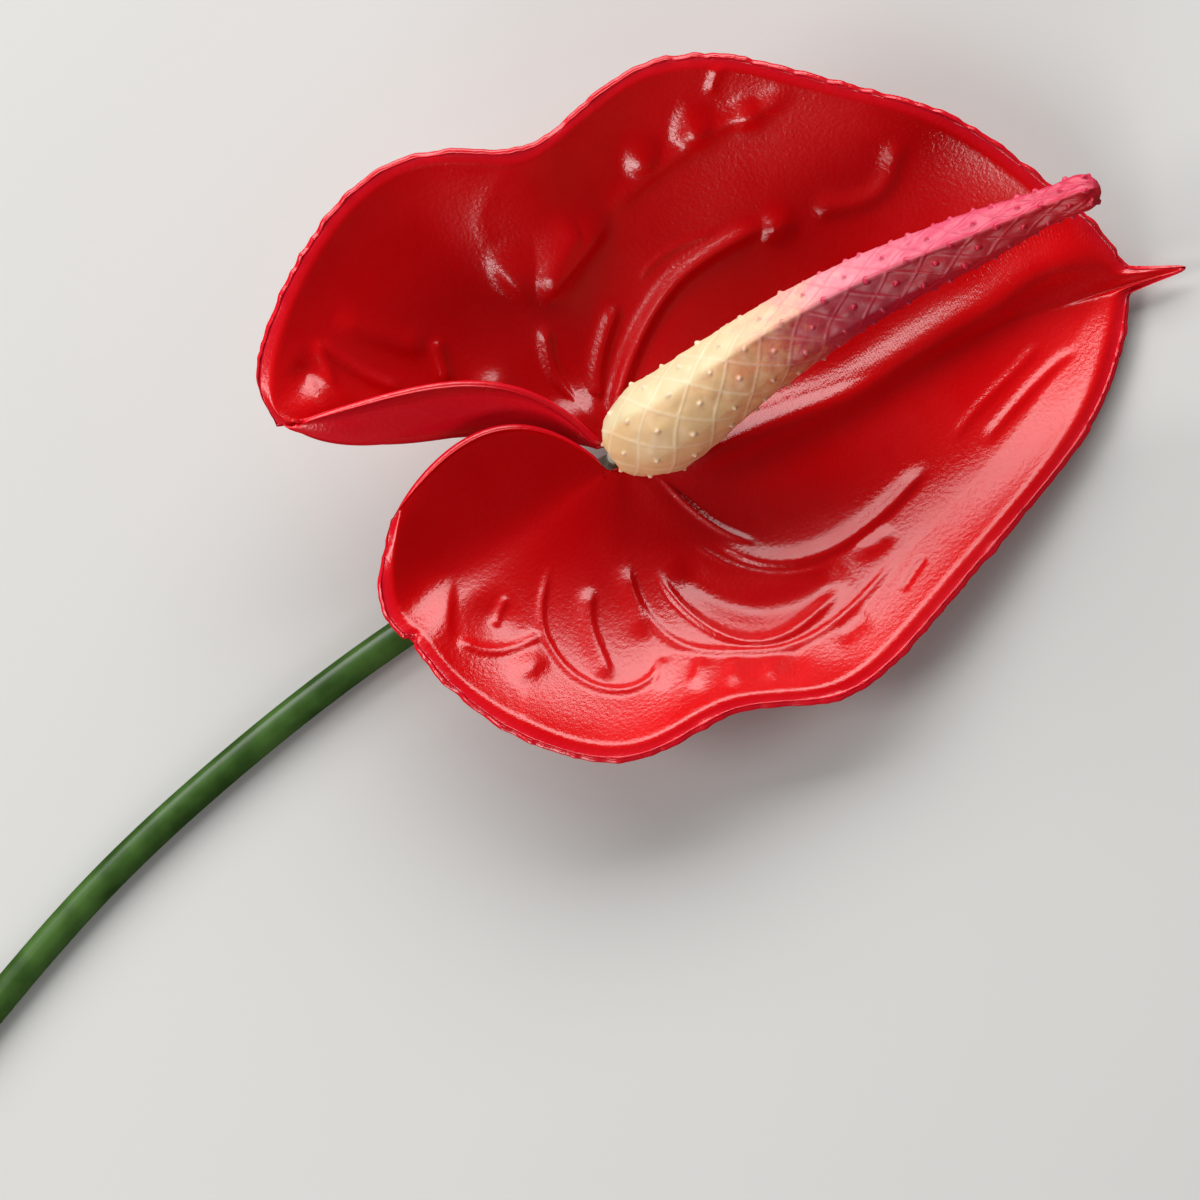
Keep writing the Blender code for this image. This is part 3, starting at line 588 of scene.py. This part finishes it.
def makeSpadix(material, matrix):
    shape = spadixShape
    rows, walked = spadixProfile()
    middle, radius = rows[:, :3], np.maximum(rows[:, 3], shape["leastRadius"])
    tangent = unit(np.gradient(middle, axis=0))
    facing = unit(np.array([0, 0, 1.0]) - tangent * tangent[:, 2:3])
    upward = np.cross(facing, tangent)
    upward *= np.where(upward[:, 1:2] < 0, -1, 1)
    share = walked / walked[-1]
    turned = shape["ridgeAtTip"] - shape["ridgeAtBase"]
    ridge = np.radians(shape["ridgeAtBase"] + turned * share)[:, None]
    angle = np.linspace(0, 2 * math.pi, shape["around"], endpoint=False)[None, :] + ridge
    fromRidge = np.mod(angle - ridge + math.pi, 2 * math.pi) - math.pi
    facet = 2 * math.pi / shape["facets"]
    hexagon = shape["facetSize"] * math.cos(facet / 2) / np.cos(np.mod(fromRidge, facet) - facet / 2)
    sharpened = smoothStep(shape["ridgeFrom"], shape["ridgeFull"], share)[:, None]
    flatness = shape["ridgeShare"] * sharpened * np.exp(-(fromRidge / shape["ridgeReach"]) ** 4)
    flatness = flatness + shape["facetShare"] * smoothStep(0, shape["facetFull"], share)[:, None]
    out = radius[:, None] * (1 + flatness * (hexagon - 1))
    crest = np.exp(-(fromRidge * radius[:, None] / shape["ridgeWidth"]) ** 2)
    out = out + shape["ridgeHeight"] * crest * sharpened
    ray = facing[:, None] * np.cos(angle)[:, :, None] + upward[:, None] * np.sin(angle)[:, :, None]
    points = middle[:, None] + ray * out[:, :, None]
    wrapped = np.concatenate([points[:, -1:], points, points[:, :1]], axis=1)
    normals = gridNormals(wrapped)[:, 1:-1]
    normals *= np.sign((normals * ray).sum(axis=2).mean())
    # the lattice runs along both diagonals of the cells, and wanders a little as the mould does
    way = walked[:, None]
    swayAlong = np.sin(shape["swayTurns"] * fromRidge + way / shape["swayAlongMm"])
    u = way / shape["pitch"] + shape["swayAlong"] * swayAlong
    v = fromRidge / facet - 0.5 + shape["swayAround"] * np.sin(way / shape["swayAroundMm"])
    cellWidth = radius[:, None] * facet
    a, b = u + v, u - v
    slope = np.sqrt(shape["pitch"] ** -2 + cellWidth ** -2)
    gapA = np.abs(np.mod(a, 1) - 0.5) / slope
    gapB = np.abs(np.mod(b, 1) - 0.5) / slope
    line = np.exp(-(np.minimum(gapA, gapB) / shape["lineWidth"]) ** 2)
    # a number from 0 to 1 for each cell, which looks random and is always the same
    byA, byB, spread = shape["cellHash"]
    cell = np.mod(np.sin(np.round(a) * byA + np.round(b) * byB) * spread, 1)
    nearA, nearB = a - np.round(a), b - np.round(b)
    aside = shape["wander"] * (cell - 0.5)
    dotGap = np.hypot((nearA + nearB) / 2 * shape["pitch"] + aside, (nearA - nearB) / 2 * cellWidth - aside)
    dotSize = shape["dotRadius"] * (shape["dotLeast"] + shape["dotSpread"] * cell)
    dot = smoothStep(1.0, shape["dotFlat"], dotGap / dotSize)
    bulge = np.abs(np.cos(math.pi * nearA) * np.cos(math.pi * nearB))
    spanRings, spanAround = shape["pimpleRings"], shape["pimpleAround"]
    pimples = (shape["rings"] // spanRings, shape["around"] // spanAround)
    rough = np.random.default_rng(shape["pimpleSeed"]).normal(0, 1, pimples)
    rough = np.repeat(np.repeat(rough, spanRings, axis=0), spanAround, axis=1)
    for axis in (0, 1, 0, 1):
        rough = (np.roll(rough, 2, axis) + rough + np.roll(rough, -2, axis)) / 3
    fade = smoothStep(*shape["fadeRadius"], radius)[:, None]
    raised = shape["lineHeight"] * line + shape["cellBulge"] * bulge + shape["pimples"] * rough
    raised = raised * fade + shape["dotHeight"] * dot
    points = points + normals * raised[:, :, None]
    count, around = points.shape[:2]
    verts = np.concatenate([points.reshape(-1, 3), middle[:1], middle[-1:]])
    attributes = {}
    # top: how far round each spot lies towards the upper side, which the material paints paler as painted
    # light
    for key, grid in (("along", share[:, None] + 0 * angle), ("line", line), ("dot", dot), ("cell", cell),
                      ("top", np.sin(fromRidge))):
        attributes[key] = np.concatenate([grid.ravel(), grid[0, :1], grid[-1, :1]])
    return makePiece("spadix", verts, tubeFaces(count, around), attributes, material, matrix)


def spadixVinylMoulded():
    # Firmer vinyl, brushed with cream and crimson by hand: satin. The upper side is painted pale as painted
    # light and sheen, the lower side tan to deep red as painted shade; dots are picked out where the brush
    # touched them, lattice lines pale near the base as a painted highlight.
    look = {"upper": [(0.0, "#dfd3a8"), (0.32, "#dfcfa4"), (0.42, "#e6b89c"), (0.52, "#e48c98"),
                      (0.7, "#d85470"), (1.0, "#d23250")],
            "lower": [(0.0, "#dfbc88"), (0.25, "#dab07c"), (0.36, "#cc8458"), (0.46, "#b02c38"),
                      (0.56, "#a00826"), (0.75, "#b00018"), (1.0, "#c80010")],
            "mottleMm": 1.6, "mottleShift": 0.05, "cellShift": 0.014,
            "litSideFrom": -0.08, "litSideTo": 0.12,
            "paleDot": "#f6dcc4", "redDot": "#d01c48", "dotShare": 0.8,
            "paleLineHighlight": "#fbeed6", "redLine": "#c81c40", "lineShare": 0.3, "redFrom": 0.28, "redTo": 0.5,
            "roughness": 0.4, "ior": 1.5, "scatter": 0.1, "scatterMm": 2,
            "grainMm": 0.3, "grainDepthMm": 0.02, "grainStrength": 0.6}
    material = newMaterial("vinyl_cream_crimson_painted_light")
    coords = addNode(material, "TexCoord")
    marks = {key: addNode(material, "Attribute", {"attribute_name": key})
             for key in ("along", "line", "dot", "cell", "top")}
    mottle = addNode(material, "TexNoise", {"Scale": 1 / (look["mottleMm"] * mm), "Detail": 5.0,
                                            "Roughness": 0.65}, {"Vector": (coords, "Object")})
    shift = addNode(material, "MapRange", {"From Min": 0.3, "From Max": 0.7,
                                           "To Min": -look["mottleShift"], "To Max": look["mottleShift"]},
                    {"Value": (mottle, "Fac")})
    cellShift = addNode(material, "MapRange", {"To Min": -look["cellShift"], "To Max": look["cellShift"]},
                        {"Value": (marks["cell"], "Fac")})
    place = addNode(material, "Math", {"operation": "ADD"},
                    {0: (marks["along"], "Fac"), 1: (shift, "Result")})
    placed = addNode(material, "Math", {"operation": "ADD"},
                     {0: (place, "Value"), 1: (cellShift, "Result")})
    upper = addNode(material, "ValToRGB", {"stops": look["upper"]}, {"Fac": (placed, "Value")})
    lower = addNode(material, "ValToRGB", {"stops": look["lower"]}, {"Fac": (placed, "Value")})
    # painted light and shade: above the ridge the paler upper colours stand in for the light on that side,
    # below it the tan to deep red ones for the shade and the red light thrown back from the spathe
    litSideShare = addNode(material, "MapRange",
                      {"From Min": look["litSideFrom"], "From Max": look["litSideTo"]},
                      {"Value": (marks["top"], "Fac")})
    tint = addNode(material, "MixRGB", None, {"Fac": (litSideShare, "Result"), "Color1": (lower, "Color"),
                                              "Color2": (upper, "Color")})
    redShare = addNode(material, "MapRange", {"From Min": look["redFrom"], "From Max": look["redTo"]},
                       {"Value": (marks["along"], "Fac")})
    # the lattice lines are pale near the base as a painted highlight on their raised tops, and red further
    # on, where paint lies in them; the dots' own colour goes from pale to red along the length
    for key, amount, pale, red in (("line", look["lineShare"], look["paleLineHighlight"], look["redLine"]),
                                   ("dot", look["dotShare"], look["paleDot"], look["redDot"])):
        mark = addNode(material, "MixRGB", {"Color1": hexColour(pale), "Color2": hexColour(red)},
                       {"Fac": (redShare, "Result")})
        share = addNode(material, "Math", {"operation": "MULTIPLY", 1: amount}, {0: (marks[key], "Fac")})
        tint = addNode(material, "MixRGB", None, {"Fac": (share, "Value"), "Color1": (tint, "Color"),
                                                  "Color2": (mark, "Color")})
    grain = addNode(material, "TexNoise", {"Scale": 1 / (look["grainMm"] * mm), "Detail": 2.0},
                    {"Vector": (coords, "Object")})
    bump = addNode(material, "Bump", {"Strength": look["grainStrength"],
                                      "Distance": look["grainDepthMm"] * mm}, {"Height": (grain, "Fac")})
    return finishMaterial(material, {"IOR": look["ior"], "Roughness": look["roughness"],
                                     "Subsurface Weight": look["scatter"],
                                     "Subsurface Scale": look["scatterMm"] * mm},
                          {"Base Color": (tint, "Color"), "Normal": (bump, "Normal")})


# Stem and collar
stemShape = {
    # points of its middle with the radius there
    "path": [
        (-4.4, -1.0, 2.1, 2.1), (-12.0, -1.3, 2.1, 2.1), (-20.0, -1.1, 2.1, 2.1), (-40.0, 0.8, 2.1, 2.1),
        (-63.0, 1.7, 2.1, 2.1), (-87.0, 0.6, 2.12, 2.12), (-110.0, -3.0, 2.15, 2.15),
        (-150.0, -11.5, 2.2, 2.2), (-200.0, -22.5, 2.3, 2.3), (-250.0, -32.5, 2.35, 2.35),
        (-293.0, -40.0, 2.4, 2.4),
    ],
    "rings": 300, "around": 40, "ribCount": 9, "ribDepth": 0.035, "ribTwist": 3, "endCircles": (0.9, 0.5),
}
collarShape = {
    "path": [
        (-3.6, -1.0, 2.1, 2.05), (-2.7, -1.0, 2.35, 2.3), (-1.2, -1.0, 2.9, 2.2), (0.0, -1.05, 4.0, 1.8),
        (0.7, -1.1, 5.4, 1.2), (1.2, -1.15, 7.3, 0.9), (1.9, -1.35, 9.8, 0.95),
    ],
    "rings": 60, "around": 40, "ribCount": 7, "ribDepth": 0.06, "ribTwist": 9, "endCircles": (0.9, 0.5),
}


def makeTube(node, shape, material, matrix):
    rings, around = shape["rings"], shape["around"]
    rows = alongCurve(shape["path"], rings)
    middle, radius = rows[:, :3], rows[:, 3]
    tangent = unit(np.gradient(middle, axis=0))
    sideways = unit(np.cross(tangent, [0, 0, 1.0]))
    upward = np.cross(sideways, tangent)
    angle = np.linspace(0, 2 * math.pi, around, endpoint=False)[None, :]
    along = np.linspace(0, 1, rings)[:, None]
    groove = 0.5 + 0.5 * np.cos(shape["ribCount"] * angle + shape["ribTwist"] * along)
    out = radius[:, None] - shape["ribDepth"] * groove
    ray = sideways[:, None] * np.cos(angle)[:, :, None] + upward[:, None] * np.sin(angle)[:, :, None]
    points = middle[:, None] + ray * out[:, :, None]
    # smaller circles keep the two ends flat
    first, last = ([middle[end] + (points[end] - middle[end]) * share for share in shape["endCircles"]]
                   for end in (0, -1))
    points = np.concatenate([first[::-1], points, last])
    verts = np.concatenate([points.reshape(-1, 3), middle[:1], middle[-1:]])
    return makePiece(node, verts, tubeFaces(len(points), around), {}, material, matrix)


def stemVinylExtruded():
    # Green vinyl drawn through a round die: a satin streak along its length over slow dark and light
    # clouds.
    look = {"green": "#46682c", "dark": "#2e4a1a", "cloudMm": 6, "roughness": 0.3, "ior": 1.5}
    material = newMaterial("vinyl_green_extruded")
    coords = addNode(material, "TexCoord")
    noise = addNode(material, "TexNoise", {"Scale": 1 / (look["cloudMm"] * mm), "Detail": 3.0},
                    {"Vector": (coords, "Object")})
    tint = addNode(material, "ValToRGB", {"stops": [(0.35, look["dark"]), (0.65, look["green"])]},
                   {"Fac": (noise, "Fac")})
    return finishMaterial(material, {"Roughness": look["roughness"], "IOR": look["ior"]},
                          {"Base Color": (tint, "Color")})


def collarVinyl():
    # Grey-green vinyl cast in a plain mould: even and nearly matt, with faint pale clouds.
    look = {"pale": "#c9d0bf", "dark": "#9ca890", "cloudMm": 2, "roughness": 0.5, "ior": 1.5}
    material = newMaterial("vinyl_grey_green_moulded")
    coords = addNode(material, "TexCoord")
    noise = addNode(material, "TexNoise", {"Scale": 1 / (look["cloudMm"] * mm), "Detail": 3.0},
                    {"Vector": (coords, "Object")})
    tint = addNode(material, "ValToRGB", {"stops": [(0.35, look["dark"]), (0.65, look["pale"])]},
                   {"Fac": (noise, "Fac")})
    return finishMaterial(material, {"Roughness": look["roughness"], "IOR": look["ior"]},
                          {"Base Color": (tint, "Color")})


# Build
place = heartPlace()
flowerMatrix = Matrix.Translation(place) @ flowerTurn()
footMatrix = Matrix.Translation((place.x, place.y, 0))
print("heart at", [round(c / mm, 2) for c in place])
makeSpathe(softVinylMoulded(), flowerMatrix)
spadix = makeSpadix(spadixVinylMoulded(), flowerMatrix)
spadix.visible_glossy = False  # the grain of the sheet breaks up its mirror image
makeTube("stem", stemShape, stemVinylExtruded(), footMatrix)
makeTube("stem_collar", collarShape, collarVinyl(), footMatrix)

# Studio
studio = {
    # mm: how far the camera is, how far below the heart it looks, and how much of the width it sees
    "cameraHeight": 600.0, "cameraDrop": 18.85, "viewWidth": 156.0, "sensorWidth": 36.0,
    # each light: name, direction as the flower's front is seen, size in metres, watts
    "lights": [
        ("softbox", (-0.25, 0.85, 0.47), (1.5, 0.55), 13.2),
        ("low", (-0.45, -0.80, 0.40), (0.34, 0.34), 2.6),
        ("side", (-0.80, -0.12, 0.60), (0.36, 0.36), 2.6),
    ],
    "lightDistance": 0.9, "lightTarget": (0.01, 0.0, 0.01), "lightColour": "#ffffff",
    "worldColour": "#f2f3f5", "worldStrength": 0.16,
    # the floor's size in metres, and its clouds per metre
    "floorSize": 4.0, "floorClouds": 3.0, "floorDark": "#cac9c6", "floorPale": "#cecdca",
    "floorRoughness": 0.9,
}


def addLight(name, direction, size, power):
    data = bpy.data.lights.new(name, "AREA")
    data.shape = "RECTANGLE"
    data.size, data.size_y = size
    data.energy = power
    data.color = hexColour(studio["lightColour"])[:3]
    light = bpy.data.objects.new(name, data)
    bpy.context.scene.collection.objects.link(light)
    target = flowerMatrix @ Vector(studio["lightTarget"])
    way = (flowerMatrix.to_3x3() @ Vector(direction)).normalized()
    light.location = target + way * studio["lightDistance"]
    light.rotation_euler = way.to_track_quat("Z", "Y").to_euler()


def makeFloor():
    half = studio["floorSize"] / 2
    corners = [(-half, -half, 0), (half, -half, 0), (half, half, 0), (-half, half, 0)]
    mesh = bpy.data.meshes.new("floor")
    mesh.from_pydata(corners, [], [(0, 1, 2, 3)])
    floor = bpy.data.objects.new("floor", mesh)
    bpy.context.scene.collection.objects.link(floor)
    material = newMaterial("paper_pale_matt")
    coords = addNode(material, "TexCoord")
    noise = addNode(material, "TexNoise", {"Scale": studio["floorClouds"], "Detail": 2.0},
                    {"Vector": (coords, "Object")})
    stops = [(0.3, studio["floorDark"]), (0.7, studio["floorPale"])]
    tint = addNode(material, "ValToRGB", {"stops": stops}, {"Fac": (noise, "Fac")})
    finishMaterial(material, {"Roughness": studio["floorRoughness"]}, {"Base Color": (tint, "Color")})
    mesh.materials.append(material)
    floor.visible_glossy = False


def makeCamera():
    data = bpy.data.cameras.new("camera")
    data.sensor_width = studio["sensorWidth"]
    data.lens = data.sensor_width * studio["cameraHeight"] / studio["viewWidth"]
    camera = bpy.data.objects.new("camera", data)
    bpy.context.scene.collection.objects.link(camera)
    offset = (0, -studio["cameraDrop"] * mm, studio["cameraHeight"] * mm)
    camera.matrix_world = flowerMatrix @ Matrix.Translation(offset)
    bpy.context.scene.camera = camera


makeFloor()
makeCamera()
for light in studio["lights"]:
    addLight(*light)
world = bpy.data.worlds.new("studio")
bpy.context.scene.world = world
world.use_nodes = True
background = world.node_tree.nodes["Background"]
background.inputs["Color"].default_value = hexColour(studio["worldColour"])
background.inputs["Strength"].default_value = studio["worldStrength"]
world.cycles_visibility.glossy = False
bpy.context.scene.view_settings.view_transform = "Standard"
print("studio: floor, camera and", len(studio["lights"]), "lights")
